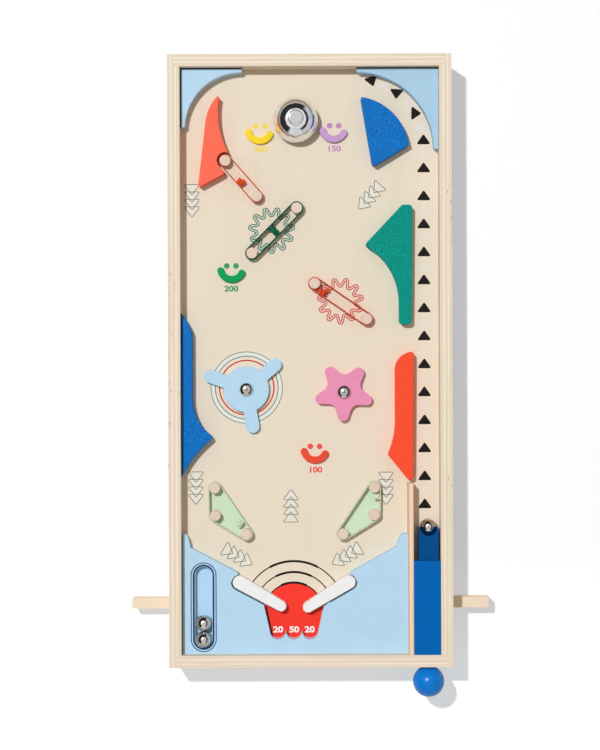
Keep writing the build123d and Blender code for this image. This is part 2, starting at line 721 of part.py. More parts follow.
# Flippers on shafts through the playfield, with cranks and push rods below it
shaft_top = flipper_bottom + flipper_shaft_in_flipper
bearings = []
guides = []
for side, spot in flipper_at.items():
    sign = side_sign[side]
    toe = polar(spot, flipper_length, -90 - sign * (90 - flipper_rest_angle[side]))
    flipper = plate(taper(spot, flipper_heel_radius, toe, flipper_toe_radius), flipper_bottom,
                    flipper_thickness)
    flipper -= post(spot, flipper_bottom - 1, shaft_top + glue_gap, flipper_shaft_radius + glue_gap)
    write(f"flipper_{side}", ease_top(flipper))
    write(f"flipper_shaft_{side}", post(spot, crank_bottom, shaft_top, flipper_shaft_radius))

    bearing = block(spot[0] - bearing_side / 2, spot[0] + bearing_side / 2,
                    spot[1] - bearing_side / 2, spot[1] + bearing_side / 2,
                    bearing_bottom, playfield_bottom)
    bearings.append(bearing - post(spot, bearing_bottom - 1, playfield_bottom + 1,
                                   flipper_shaft_radius + running_gap))

    pin_spot = polar(spot, crank_radius, -90 + sign * half_swing)
    crank = plate(taper(spot, crank_heel_radius, pin_spot, crank_toe_radius), crank_bottom, crank_thickness)
    crank -= post(spot, crank_bottom - 1, crank_top + 1, flipper_shaft_radius + glue_gap)
    crank += post(pin_spot, rod_bottom + rod_slide_gap, crank_top, crank_pin_radius)
    write(f"flipper_crank_{side}", crank)

    rod_outer = sign * (frame_width / 2 + rod_reach)
    rod_inner = pin_spot[0] - sign * rod_past_pin
    x0, x1 = sorted((rod_outer, rod_inner))
    rod = block(x0, x1, rod_y - rod_width / 2, rod_y + rod_width / 2, rod_bottom, rod_top)
    outer_end = rod.faces().sort_by(Axis.X)[-1 if sign > 0 else 0]
    rod = fillet(outer_end.edges(), rod_end_round)
    slot_width = 2 * (crank_pin_radius + rod_slot_gap)
    slot_length = slot_width + crank_sag + 2 * rod_slot_end_gap
    slot = Rot(0, 0, 90) * SlotOverall(slot_length, slot_width)
    rod -= Pos(pin_spot[0], rod_y, rod_bottom - 1) * extrude(slot, rod_height + 2)
    write(f"push_rod_{side}", rod)

    collar_outer = sign * (right - rod_slide_gap)
    collar_inner = collar_outer - sign * rod_collar_thickness
    x0, x1 = sorted((collar_outer, collar_inner))
    collar = block(x0, x1, rod_y - rod_collar_side / 2, rod_y + rod_collar_side / 2,
                   rod_z - rod_collar_side / 2, rod_z + rod_collar_side / 2)
    collar -= block(x0 - 1, x1 + 1, rod_y - rod_width / 2 - glue_gap, rod_y + rod_width / 2 + glue_gap,
                    rod_bottom - glue_gap, rod_top + glue_gap)
    write(f"rod_collar_{side}", collar)

    guide_outer = collar_inner - sign * rod_spring_length
    guide_inner = guide_outer - sign * rod_guide_thickness
    x0, x1 = sorted((guide_inner, guide_outer))
    reach = rod_width / 2 + rod_slide_gap
    guide = block(x0, x1, rod_y - reach - rod_guide_wall, rod_y + reach + rod_guide_wall,
                  rod_bottom - rod_slide_gap - rod_guide_wall, playfield_bottom)
    guide -= block(x0 - 1, x1 + 1, rod_y - reach, rod_y + reach,
                   rod_bottom - rod_slide_gap, rod_top + rod_slide_gap)
    guides.append(guide)

    free_length = rod_spring_length - 2 * spring_end_gap
    spring = coil(rod_spring_radius, free_length, rod_spring_turns, rod_spring_wire)
    spring_start = min(collar_inner, guide_outer) + spring_end_gap
    write(f"rod_spring_{side}", Pos(spring_start, rod_y, rod_z) * Rot(0, 90, 0) * spring)
write("flipper_bearings", Compound(children=bearings))
write("rod_guides", Compound(children=guides))
print(f"push rod travel {2 * crank_throw:.2f} mm for a swing of {flipper_swing:.0f} degrees")

# Spring plunger: block, shaft through the front rail, return spring and ball knob
plunger_bottom = playfield_top + plunger_lift
plunger = block(plunger_x - plunger_width / 2, plunger_x + plunger_width / 2, plunger_heel_y, plunger_tip_y,
                plunger_bottom, plunger_bottom + plunger_height)
plunger -= post((plunger_x, plunger_tip_y), playfield_top, frame_height, plunger_notch_radius)
shaft_rear = plunger_heel_y + plunger_shaft_in_block
shaft_front = knob_y + knob_radius - plunger_shaft_in_knob


def along_plunger(radius, y0, y1):
    """A round bar on the plunger's line."""
    return Pos(plunger_x, (y0 + y1) / 2, plunger_z) * Rot(90, 0, 0) * Cylinder(radius, y1 - y0)


socket_radius = plunger_shaft_radius + glue_gap
plunger -= along_plunger(socket_radius, plunger_heel_y - 1, shaft_rear + glue_gap)
write("plunger_block", plunger)
write("plunger_shaft", along_plunger(plunger_shaft_radius, shaft_front, shaft_rear))
knob = Pos(plunger_x, knob_y, plunger_z) * Sphere(knob_radius)
write("plunger_knob", knob - along_plunger(socket_radius, shaft_front - glue_gap, knob_y + knob_radius + 1))
spring_length = plunger_heel_y - front - 2 * spring_end_gap
plunger_spring = coil(plunger_spring_radius, spring_length, plunger_spring_turns, plunger_spring_wire)
write("plunger_spring", Pos(plunger_x, front + spring_end_gap, plunger_z) * Rot(-90, 0, 0) * plunger_spring)

# Steel balls: one on the plunger, two waiting in the tray
tray_ball_z = playfield_top + tray_floor + ball_radius
lower_ball_y = front + tray_front + tray_chamfer + ball_radius + ball_gap
upper_ball_y = lower_ball_y + 2 * ball_radius + ball_gap
lane_ball_y = plunger_tip_y + lane_ball_gap
write("lane_ball", Pos(plunger_x, lane_ball_y, playfield_top + ball_radius) * Sphere(ball_radius))
write("tray_ball_lower", Pos(tray_x, lower_ball_y, tray_ball_z) * Sphere(ball_radius))
write("tray_ball_upper", Pos(tray_x, upper_ball_y, tray_ball_z) * Sphere(ball_radius))
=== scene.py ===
"""Looks of the tabletop pinball game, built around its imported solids.

Places and sizes are millimetres in the part's own frame: +X to the right, +Y to the rear, +Z up.
Meshes, lamp, camera and floor are in metres, Blender's unit.
"""
import math

import bpy
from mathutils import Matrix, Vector


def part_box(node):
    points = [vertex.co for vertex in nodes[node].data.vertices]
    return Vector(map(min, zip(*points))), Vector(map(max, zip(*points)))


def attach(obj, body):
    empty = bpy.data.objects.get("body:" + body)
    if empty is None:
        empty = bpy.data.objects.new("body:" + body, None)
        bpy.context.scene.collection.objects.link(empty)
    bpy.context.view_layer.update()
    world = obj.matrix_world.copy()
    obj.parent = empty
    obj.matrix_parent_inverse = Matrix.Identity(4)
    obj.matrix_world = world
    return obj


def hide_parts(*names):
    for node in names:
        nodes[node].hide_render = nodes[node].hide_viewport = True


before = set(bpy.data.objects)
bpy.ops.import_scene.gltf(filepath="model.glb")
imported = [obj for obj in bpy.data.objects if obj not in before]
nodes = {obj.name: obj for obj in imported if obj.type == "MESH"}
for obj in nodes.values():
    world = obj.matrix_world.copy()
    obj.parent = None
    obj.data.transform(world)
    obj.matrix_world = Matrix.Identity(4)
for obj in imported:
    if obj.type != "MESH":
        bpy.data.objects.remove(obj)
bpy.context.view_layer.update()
scene = bpy.context.scene
mm = 0.001

# Levels and edges, taken from the frame where it has them
field_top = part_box("playfield_board")[1].z / mm
apron_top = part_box("apron")[1].z / mm
rail_outer_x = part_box("side_rail_right")[1].x / mm
rail_outer_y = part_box("rear_rail")[1].y / mm
rail_thickness = 12.0
divider_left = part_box("lane_divider")[0].x / mm
band_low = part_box("elastic_band_green")[0].z / mm
band_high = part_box("elastic_band_green")[1].z / mm


def srgb(red, green, blue):
    """A display colour (0 to 255) as the linear colour that a shader takes."""
    def linear(value):
        value = value / 255.0
        return value / 12.92 if value <= 0.04045 else ((value + 0.055) / 1.055) ** 2.4
    return (linear(red), linear(green), linear(blue), 1.0)


def shade(colour, factor):
    """The colour made lighter or darker."""
    return tuple(min(1.0, part * factor) for part in colour[:3]) + (1.0,)


class Graph:
    """A node tree, built by short calls."""

    def __init__(self, tree):
        self.tree = tree

    def add(self, kind, **settings):
        node = self.tree.nodes.new(kind)
        for key, value in settings.items():
            setattr(node, key, value)
        return node

    def feed(self, socket, value):
        """Links a socket to another one, or sets its own value."""
        if isinstance(value, bpy.types.NodeSocket):
            self.tree.links.new(value, socket)
        else:
            socket.default_value = value

    def math(self, operation, first, second=0.0):
        node = self.add("ShaderNodeMath", operation=operation)
        self.feed(node.inputs[0], first)
        self.feed(node.inputs[1], second)
        return node.outputs[0]

    def vector(self, operation, first, second=None):
        """A vector worked out from others, or a number where the operation gives one."""
        node = self.add("ShaderNodeVectorMath", operation=operation)
        self.feed(node.inputs[0], first)
        if second is not None:
            self.feed(node.inputs[1], second)
        return node.outputs["Value" if operation in ("DOT_PRODUCT", "LENGTH") else "Vector"]

    def component(self, vector, letter):
        """One of the three numbers of a vector."""
        node = self.add("ShaderNodeSeparateXYZ")
        self.feed(node.inputs[0], vector)
        return node.outputs[letter]

    def remap(self, value, low, high, to_low=0.0, to_high=1.0):
        """A smooth step from one value to another."""
        node = self.add("ShaderNodeMapRange", interpolation_type="SMOOTHSTEP")
        for socket, number in zip(node.inputs, (value, low, high, to_low, to_high)):
            self.feed(socket, number)
        return node.outputs[0]

    def ramp(self, factor, *stops):
        node = self.add("ShaderNodeValToRGB")
        elements = node.color_ramp.elements
        while len(elements) < len(stops):
            elements.new(0.5)
        for element, (position, colour) in zip(elements, stops):
            element.position = position
            element.color = colour
        self.feed(node.inputs[0], factor)
        return node.outputs[0]

    def mix(self, factor, first, second):
        """A mix of two colours."""
        node = self.add("ShaderNodeMix", data_type="RGBA")
        self.feed(node.inputs[0], factor)
        self.feed(node.inputs[6], first)
        self.feed(node.inputs[7], second)
        return node.outputs[2]

    def blend(self, factor, first, second):
        """A mix of two surfaces or backgrounds."""
        node = self.add("ShaderNodeMixShader")
        for socket, value in zip(node.inputs, (factor, first, second)):
            self.feed(socket, value)
        return node.outputs[0]


flat_cosine = 0.99
sharp_cosine = 0.75


class Shader(Graph):
    """One material's nodes. Lengths are in millimetres."""

    def __init__(self, name):
        self.material = bpy.data.materials.new(name)
        self.material.use_nodes = True
        super().__init__(self.material.node_tree)
        self.surface = self.tree.nodes["Principled BSDF"]
        self.place = self.add("ShaderNodeTexCoord").outputs["Object"]

    def normal(self):
        return self.add("ShaderNodeNewGeometry").outputs["Normal"]

    def axis(self, letter):
        return self.component(self.place, letter)

    def noise(self, grain, detail=4.0, roughness=0.55):
        """Noise whose grain size is one length, or one length for each axis."""
        sizes = grain if isinstance(grain, tuple) else (grain, grain, grain)
        node = self.add("ShaderNodeTexNoise")
        stretched = self.vector("MULTIPLY", self.place, tuple(1.0 / (size * mm) for size in sizes))
        self.feed(node.inputs["Vector"], stretched)
        self.feed(node.inputs["Scale"], 1.0)
        self.feed(node.inputs["Detail"], detail)
        self.feed(node.inputs["Roughness"], roughness)
        return node.outputs[0]

    def slope(self):
        """1 on a level surface that faces up, 0 on an upright one."""
        return self.component(self.normal(), "Z")

    def steeper(self, factor):
        """Shading normals tilted as on a steeper dome."""
        return self.vector("NORMALIZE", self.vector("MULTIPLY", self.normal(), (factor, factor, 1.0)))

    def bump(self, height, depth, strength=1.0, normal=None):
        node = self.add("ShaderNodeBump")
        if normal is not None:
            self.feed(node.inputs["Normal"], normal)
        self.feed(node.inputs["Strength"], strength)
        self.feed(node.inputs["Distance"], depth * mm)
        self.feed(node.inputs["Height"], height)
        self.feed(self.surface.inputs["Normal"], node.outputs[0])

    def edges(self, radius):
        """1 where the surface turns sharply within the radius, 0 on flat stretches."""
        bevel = self.add("ShaderNodeBevel", samples=4)
        self.feed(bevel.inputs["Radius"], radius * mm)
        turn = self.vector("DOT_PRODUCT", bevel.outputs[0], self.normal())
        return self.remap(turn, flat_cosine, sharp_cosine)

    def finish(self, **inputs):
        for name, value in inputs.items():
            self.feed(self.surface.inputs[name.replace("_", " ").title().replace("Ior", "IOR")], value)
        return self.material


def along_axis(letter, length, across):
    """Grain sizes that are long on one axis and short on the other two."""
    return tuple(length if axis == letter else across for axis in "XYZ")


# Materials
matt = 0.05
rib_pitch = 0.75


def wood(name, light, dark, grain, contrast=1.0):
    """Pale close-grained wood with its fibres along one axis."""
    s = Shader(name)
    fibre = s.noise(along_axis(grain, 70.0, 1.3), detail=6.0, roughness=0.6)
    figure = s.noise(along_axis(grain, 240.0, 16.0), detail=3.0)
    pore = s.noise(along_axis(grain, 9.0, 0.35), detail=2.0)
    tone = s.math("ADD", s.math("MULTIPLY", fibre, 0.6), s.math("MULTIPLY", figure, 0.4))
    reach = 0.22 / contrast
    colour = s.ramp(tone, (0.5 - reach, dark), (0.5 + reach, light))
    speck = s.remap(pore, 0.64, 0.78, 0.0, 0.22 * contrast)
    colour = s.mix(speck, colour, shade(dark, 0.62))
    s.bump(s.math("ADD", fibre, pore), 0.05, 0.35)
    return s.finish(base_color=colour, roughness=s.remap(fibre, 0.2, 0.8, 0.46, 0.66),
                    specular_ior_level=matt)


def plywood(name, axis, start, stripes, grain, line, flecks=0.0):
    """Plywood seen on its edge: soft stripes across one axis, as (width, colour) from a start."""
    s = Shader(name)
    thickness = sum(width for width, colour in stripes)
    wander = s.noise(along_axis(grain, 60.0, 8.0), detail=2.0)
    depth = s.math("SUBTRACT", s.math("ABSOLUTE", s.axis(axis)), start * mm)
    depth = s.math("ADD", depth, s.math("MULTIPLY", s.math("SUBTRACT", wander, 0.5), 0.5 * mm))
    share = s.math("DIVIDE", depth, thickness * mm)
    soft = 0.25 / thickness
    stops = [(0.0, stripes[0][1])]
    reached = 0.0
    for (width, colour), (_, following) in zip(stripes, stripes[1:]):
        reached += width / thickness
        stops += [(reached - soft, colour), (reached + soft, following)]
    colour = s.ramp(share, *stops)
    fibre = s.noise(along_axis(grain, 45.0, 0.7), detail=6.0, roughness=0.65)
    colour = s.mix(s.remap(fibre, 0.4, 0.72, 0.0, 0.35), colour, line)
    figure = s.noise(along_axis(grain, 130.0, 9.0), detail=3.0)
    colour = s.mix(s.remap(figure, 0.45, 0.75, 0.0, 0.3), colour, line)
    void = s.noise(along_axis(grain, 8.0, 1.2), detail=1.0)
    hole = s.math("MULTIPLY", s.remap(void, 0.68, 0.74, 0.0, flecks), s.remap(figure, 0.53, 0.6))
    hole = s.math("MULTIPLY", hole, s.remap(s.slope(), 0.7, 0.9))
    colour = s.mix(hole, colour, srgb(146, 104, 76))
    s.bump(fibre, 0.06, 0.4)
    return s.finish(base_color=colour, roughness=s.remap(fibre, 0.2, 0.8, 0.48, 0.68),
                    specular_ior_level=matt)


def paint(name, colour, speckle=0.10, grain=0.9, gloss=0.42, shine=matt, patch=0.06, worn=0.25):
    """Satin paint on sanded wood: fine speckle, faint patches, paler where edges rub."""
    s = Shader(name)
    fine = s.noise(grain, detail=3.0, roughness=0.7)
    broad = s.noise(14.0, detail=3.0)
    brush = s.noise(along_axis("Y", 26.0, 1.1), detail=3.0)
    tone = s.mix(s.remap(fine, 0.3, 0.7), shade(colour, 1.0 - speckle), shade(colour, 1.0 + speckle))
    tone = s.mix(s.remap(broad, 0.35, 0.7), tone, shade(colour, 1.0 - patch))
    tone = s.mix(s.remap(brush, 0.5, 0.8, 0.0, patch * 2.0), tone, shade(colour, 1.25))
    rubbed = s.math("MULTIPLY", s.edges(0.5), s.remap(s.noise(5.0), 0.42, 0.7, 0.15, worn))
    tone = s.mix(rubbed, tone, shade(colour, 1.7))
    s.bump(s.math("ADD", fine, s.math("MULTIPLY", brush, 0.6)), 0.03, 0.3)
    return s.finish(base_color=tone, roughness=s.remap(fine, 0.2, 0.8, gloss - 0.06, gloss + 0.10),
                    specular_ior_level=shine)


def metal(name, colour, low_rough, high_rough, brushed=None, dome=None, rim=None):
    """Bright metal with faint smudges or, along one axis, fine lines.

    A dome over 1 looks rounder than it is, and a rim gives steep sides their own roughness.
    """
    s = Shader(name)
    smudge = s.noise(6.0, detail=4.0) if brushed is None else s.noise(along_axis(brushed, 30.0, 0.25))
    speck = s.noise(0.5, detail=2.0)
    tone = s.mix(s.remap(smudge, 0.35, 0.75), colour, shade(colour, 0.88))
    tone = s.mix(s.remap(speck, 0.66, 0.8, 0.0, 0.25), tone, shade(colour, 0.6))
    s.bump(s.math("ADD", smudge, s.math("MULTIPLY", speck, 0.2)), 0.01, 0.12,
           normal=None if dome is None else s.steeper(dome))
    rough = s.remap(smudge, 0.3, 0.75, low_rough, high_rough)
    if rim is not None:
        rough = s.math("MAXIMUM", rough, s.remap(s.slope(), 0.2, 0.6, rim, low_rough))
    return s.finish(base_color=tone, metallic=1.0, roughness=rough)


def elastic(name, colour):
    """Braided elastic: ribs along the band, threads across them, a dull sheen."""
    s = Shader(name)
    height = s.axis("Z")
    rib = s.math("SINE", s.math("MULTIPLY", height, 2.0 * math.pi / (rib_pitch * mm)))
    thread = s.noise((0.45, 0.45, 0.8), detail=2.0)
    worn = s.noise(4.0, detail=3.0)
    weave = s.math("ADD", s.math("MULTIPLY", rib, 0.35), thread)
    tone = s.mix(s.remap(weave, 0.1, 0.85), shade(colour, 0.72), shade(colour, 1.15))
    tone = s.mix(s.remap(worn, 0.5, 0.8, 0.0, 0.4), tone, shade(colour, 1.5))
    s.bump(weave, 0.12, 0.7)
    return s.finish(base_color=tone, roughness=s.remap(thread, 0.2, 0.8, 0.6, 0.85), sheen_weight=0.1,
                    specular_ior_level=matt)


def ink(name, colour, cover=0.88, under=srgb(232, 214, 192)):
    """Screen-printed ink, thin enough for the grain of the wood to show a little."""
    s = Shader(name)
    grain = s.noise(along_axis("Y", 40.0, 0.8), detail=5.0)
    pinhole = s.noise(0.45, detail=2.0)
    tone = s.mix(s.remap(grain, 0.35, 0.75, cover, 1.0), under, colour)
    tone = s.mix(s.remap(pinhole, 0.66, 0.76, 0.0, (1.0 - cover) * 2.0), tone, under)
    s.bump(s.math("ADD", grain, pinhole), 0.02, 0.25)
    return s.finish(base_color=tone, roughness=s.remap(grain, 0.2, 0.8, 0.5, 0.66),
                    specular_ior_level=matt)


birch_light = srgb(247, 235, 216)
birch_dark = srgb(232, 217, 198)
birch_line = srgb(220, 201, 179)
rail_stripes = ((3.3, birch_dark), (1.3, birch_light), (3.0, birch_dark),
                (1.3, birch_light), (3.1, birch_dark))
side_ply = plywood("ply_side_rails", "X", rail_outer_x - rail_thickness, rail_stripes, "Y", birch_line,
                   flecks=1.0)
end_ply = plywood("ply_end_rails", "Y", rail_outer_y - rail_thickness, rail_stripes, "X", birch_line)
divider_dark = srgb(231, 197, 169)
divider_stripes = ((1.5, divider_dark), (1.9, srgb(245, 224, 201)), (1.6, divider_dark))
divider_ply = plywood("ply_divider", "X", divider_left, divider_stripes, "Y", srgb(219, 176, 146))
field_wood = wood("birch_playfield", srgb(236, 224, 205), srgb(228, 214, 194), "Y", contrast=0.75)
rod_wood = wood("beech_rods", srgb(244, 227, 204), srgb(233, 214, 189), "X")
peg_wood = wood("beech_pegs", srgb(234, 214, 198), srgb(219, 195, 177), "Z")
base_wood = wood("base_ply", srgb(234, 212, 182), srgb(214, 187, 152), "Y", contrast=1.3)
block_wood = wood("block_wood", srgb(226, 198, 160), srgb(205, 172, 130), "X", contrast=1.2)

steel = metal("zinc_steel", (0.60, 0.61, 0.63, 1.0), 0.22, 0.38, brushed="X")
pivot_steel = metal("pivot_steel", (0.60, 0.56, 0.51, 1.0), 0.07, 0.14, dome=1.6)
finishes = {
    "plywood_rail": side_ply,
    "playfield_wood": field_wood,
    "plain_wood": block_wood,
    "beech": rod_wood,
    "light_blue_paint": paint("light_blue_paint_look", srgb(184, 217, 241), speckle=0.03, patch=0.03),
    "deep_blue_paint": paint("deep_blue_paint_look", srgb(0, 100, 181), speckle=0.07),
    "blue_paint": paint("blue_paint_look", srgb(16, 112, 194), speckle=0.55, grain=1.25),
    "orange_paint": paint("orange_paint_look", srgb(254, 110, 84), speckle=0.05),
    "red_paint": paint("red_paint_look", srgb(253, 82, 52), speckle=0.06),
    "green_paint": paint("green_paint_look", srgb(4, 146, 132), speckle=0.55, grain=1.25),
    "pink_paint": paint("pink_paint_look", srgb(236, 148, 185), speckle=0.04),
    "white_paint": paint("white_paint_look", srgb(241, 241, 242), speckle=0.02, patch=0.03),
    "yellow_smile_paint": paint("yellow_paint_look", srgb(249, 216, 42), speckle=0.05),
    "purple_smile_paint": paint("purple_paint_look", srgb(200, 158, 206), speckle=0.05),
    "green_smile_paint": paint("green_smile_look", srgb(0, 160, 86), speckle=0.06),
    "red_smile_paint": paint("red_smile_look", srgb(238, 80, 55), speckle=0.06),
    "orange_elastic": elastic("orange_elastic_look", srgb(228, 84, 44)),
    "dark_green_elastic": elastic("dark_green_elastic_look", srgb(6, 96, 70)),
    "red_elastic": elastic("red_elastic_look", srgb(228, 76, 44)),
    "mint_elastic": elastic("mint_elastic_look", srgb(214, 226, 200)),
    "bell_chrome": metal("bell_chrome_look", (0.88, 0.88, 0.89, 1.0), 0.10, 0.15, dome=1.22, rim=0.34),
    "steel": steel,
    "ball_steel": metal("ball_steel_look", (0.72, 0.69, 0.65, 1.0), 0.03, 0.07),
}
own_finish = {
    "rear_rail": end_ply,
    "front_rail": end_ply,
    "lane_divider": divider_ply,
    "corner_guide_right": paint("guide_right_look", srgb(170, 206, 230), speckle=0.03, patch=0.03),
    "bumper_pegs": peg_wood,
    "base_panel": base_wood,
    "spinner_pivot": pivot_steel,
    "star_pivot": pivot_steel,
    "plunger_block": paint("plunger_paint_look", srgb(0, 77, 141), speckle=0.07),
    "plunger_knob": paint("knob_paint_look", srgb(0, 121, 212), speckle=0.03, gloss=0.26, shine=0.25),
}
for name, piece in nodes.items():
    slot_name = piece.material_slots[0].material.name
    piece.material_slots[0].material = own_finish.get(name, finishes.get(slot_name))

# Sharp timber edges are broken a little
broken_edge = 0.45
broken_angle = 50.0
weld_distance = 0.001
timber = ("side_rail_left", "side_rail_right", "rear_rail", "front_rail", "lane_divider", "launcher_cover")
for name in timber:
    weld = nodes[name].modifiers.new("weld", "WELD")
    weld.merge_threshold = weld_distance * mm
    bevel = nodes[name].modifiers.new("broken_edge", "BEVEL")
    bevel.width = broken_edge * mm
    bevel.segments = 2
    bevel.limit_method = "ANGLE"
    bevel.angle_limit = math.radians(broken_angle)
    bevel.harden_normals = True


# Flat outlines, as lists of (x, y), counter-clockwise
def polar(centre, radius, degrees):
    angle = math.radians(degrees)
    return (centre[0] + radius * math.cos(angle), centre[1] + radius * math.sin(angle))


def arc(centre, radius, start, end, step=3.0):
    count = max(2, math.ceil(abs(end - start) / step))
    return [polar(centre, radius, start + (end - start) * i / count) for i in range(count + 1)]


def circle(centre, radius, count=96):
    return [polar(centre, radius, 360.0 * i / count) for i in range(count)]


def rounded(corners, radius, steps=6):
    """A closed outline with its corners rounded, the hollow ones too."""
    outline = []
    for i, corner in enumerate(corners):
        corner = Vector(corner)
        back = (Vector(corners[i - 1]) - corner).normalized()
        ahead = (Vector(corners[(i + 1) % len(corners)]) - corner).normalized()
        half = back.angle(ahead) / 2.0
        centre = corner + (back + ahead).normalized() * radius / math.sin(half)
        start = corner + back * radius / math.tan(half) - centre
        turn = math.pi - 2.0 * half
        if back.x * ahead.y - back.y * ahead.x > 0.0:
            turn = -turn
        first = math.atan2(start.y, start.x)
        for step in range(steps + 1):
            angle = first + turn * step / steps
            outline.append((centre.x + radius * math.cos(angle), centre.y + radius * math.sin(angle)))
    return outline


least_lean = 0.4


def grown(outline, distance):
    """The closed outline moved outwards by a distance, or inwards by a negative one; tips stay short."""
    moved = []
    for i, point in enumerate(outline):
        point = Vector(point)
        back = (point - Vector(outline[i - 1])).normalized()
        ahead = (Vector(outline[(i + 1) % len(outline)]) - point).normalized()
        way = back + ahead
        normal = Vector((way.y, -way.x)).normalized()
        lean = max(least_lean, normal.dot(Vector((ahead.y, -ahead.x))))
        moved.append(tuple(point + normal * distance / lean))
    return moved


def triangle(foot, degrees, base, height):
    """Corners of a triangle from the middle of its base and the way that it points."""
    ahead = Vector(polar((0.0, 0.0), 1.0, degrees))
    side = Vector((ahead.y, -ahead.x)) * base / 2.0
    foot = Vector(foot)
    return [tuple(foot + side), tuple(foot + ahead * height), tuple(foot - side)]


def belt(pegs, radius, step=9.0):
    """The closed line of a band round two or three equal pegs."""
    centre = sum((Vector(peg) for peg in pegs), Vector((0.0, 0.0))) / len(pegs)
    order = sorted(pegs, key=lambda peg: math.atan2(peg[1] - centre.y, peg[0] - centre.x))
    line = []
    for i, peg in enumerate(order):
        back = Vector(peg) - Vector(order[i - 1])
        ahead = Vector(order[(i + 1) % len(order)]) - Vector(peg)
        first = math.degrees(math.atan2(back.y, back.x)) - 90.0
        last = math.degrees(math.atan2(ahead.y, ahead.x)) - 90.0
        while last < first:
            last += 360.0
        line += arc(peg, radius, first, last, step)
    return line


# Printed marks: thin closed slabs of ink
ink_lift = 0.01
ink_thickness = 0.03
ink_step = 0.004


class Print:
    """All marks of one colour on one surface. Stacked marks cross, so each lies a little above the last."""

    def __init__(self, name, material, surface, layer=0, stacked=False):
        self.name = name
        self.step = ink_step if stacked else 0.0
        self.material = material
        self.low = surface + ink_lift
        self.high = surface + ink_lift + ink_thickness * (1 + layer)
        self.points = []
        self.faces = []

    def corners(self, *outlines):
        """Adds each outline at both heights and returns the numbers of its first points."""
        starts = []
        self.high += self.step
        for outline in outlines:
            for level in (self.low, self.high):
                starts.append(len(self.points))
                self.points += [(x * mm, y * mm, level * mm) for x, y in outline]
        return starts

    def fill(self, outline):
        count = len(outline)
        low, high = self.corners(outline)
        self.faces.append([high + i for i in range(count)])
        self.faces.append([low + i for i in reversed(range(count))])
        for i in range(count):
            j = (i + 1) % count
            self.faces.append([low + i, low + j, high + j, high + i])

    def line(self, outer, inner):
        """A closed line between two outlines with as many points each."""
        count = len(outer)
        outer_low, outer_high, inner_low, inner_high = self.corners(outer, inner)
        for i in range(count):
            j = (i + 1) % count
            self.faces.append([outer_high + i, outer_high + j, inner_high + j, inner_high + i])
            self.faces.append([outer_low + j, outer_low + i, inner_low + i, inner_low + j])
            self.faces.append([outer_low + i, outer_low + j, outer_high + j, outer_high + i])
            self.faces.append([inner_low + j, inner_low + i, inner_high + i, inner_high + j])

    def stroke(self, outline, width):
        self.line(grown(outline, width / 2.0), grown(outline, -width / 2.0))

    def ring(self, centre, radius, width):
        self.stroke(circle(centre, radius), width)

    def sweep(self, centre, radius, width, start, end):
        """An arc-shaped mark."""
        outer = arc(centre, radius + width / 2.0, start, end)
        inner = arc(centre, radius - width / 2.0, end, start)
        self.fill(outer + inner)

    def make(self, body="cabinet"):
        mesh = bpy.data.meshes.new(self.name)
        mesh.from_pydata(self.points, [], self.faces)
        mesh.materials.append(self.material)
        piece = bpy.data.objects.new(self.name, mesh)
        scene.collection.objects.link(piece)
        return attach(piece, body)


digit_share = 0.73
digit_weight = 0.033
digit_stretch = 1.2


def number(text, place, height, surface, material):
    """A printed number, centred on a place."""
    curve = bpy.data.curves.new("number_curve", "FONT")
    curve.body = text
    curve.align_x = "CENTER"
    curve.align_y = "CENTER"
    curve.size = height / digit_share * mm
    curve.offset = digit_weight * curve.size
    curve.extrude = ink_thickness / 2.0 * mm
    curve.resolution_u = 6
    letters = bpy.data.objects.new("number_letters", curve)
    scene.collection.objects.link(letters)
    letters.scale.x = digit_stretch
    letters.location = (place[0] * mm, place[1] * mm, (surface + ink_lift + ink_thickness / 2.0) * mm)
    bpy.context.view_layer.update()
    mesh = bpy.data.meshes.new_from_object(letters.evaluated_get(bpy.context.evaluated_depsgraph_get()))
    mesh.transform(letters.matrix_world)
    bpy.data.objects.remove(letters)
    mesh.materials.clear()
    mesh.materials.append(material)
    piece = bpy.data.objects.new(f"number_{text}_{round(place[0] - place[1])}", mesh)
    scene.collection.objects.link(piece)
    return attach(piece, "cabinet")


apron_blue = srgb(180, 213, 237)
black_ink = ink("black_ink", srgb(10, 8, 8), cover=0.98)
faint_white_ink = ink("faint_white_ink", srgb(230, 228, 226), cover=0.35)
group_white_ink = ink("group_white_ink", srgb(233, 232, 224), cover=0.5)
grey_ink = ink("grey_ink", srgb(98, 107, 105), cover=0.9)
mint_ink = ink("mint_ink", srgb(205, 227, 197), cover=0.95)
red_ink = ink("red_ink", srgb(247, 60, 49), cover=0.95, under=srgb(238, 84, 70))
navy_ink = ink("navy_ink", srgb(0, 48, 86), cover=0.98, under=apron_blue)
dim_navy_ink = ink("dim_navy_ink", srgb(12, 78, 124), cover=0.97, under=apron_blue)
white_ink = ink("white_ink", srgb(250, 250, 248), cover=0.97, under=srgb(250, 62, 52))

# Lane: black arrowheads with faint white ones between them
lane_marks = Print("lane_arrowheads", black_ink, field_top)
lane_ghosts = Print("lane_pale_arrowheads", faint_white_ink, field_top)
arrow_base = 14.5
arrow_height = 10.3
arrow_round = 1.15
lane_x = 113.0
lane_first = 219.0
lane_pitch = 27.7
lane_count = 14


def arrowhead(middle, degrees):
    """A rounded triangle round its middle height."""
    foot = polar(middle, -arrow_height / 2.0, degrees)
    return rounded(triangle(foot, degrees, arrow_base, arrow_height), arrow_round)


for i in range(lane_count):
    lane_marks.fill(arrowhead((lane_x, lane_first - i * lane_pitch), 90.0))
    lane_ghosts.fill(arrowhead((lane_x, lane_first - (i + 0.5) * lane_pitch), 90.0))
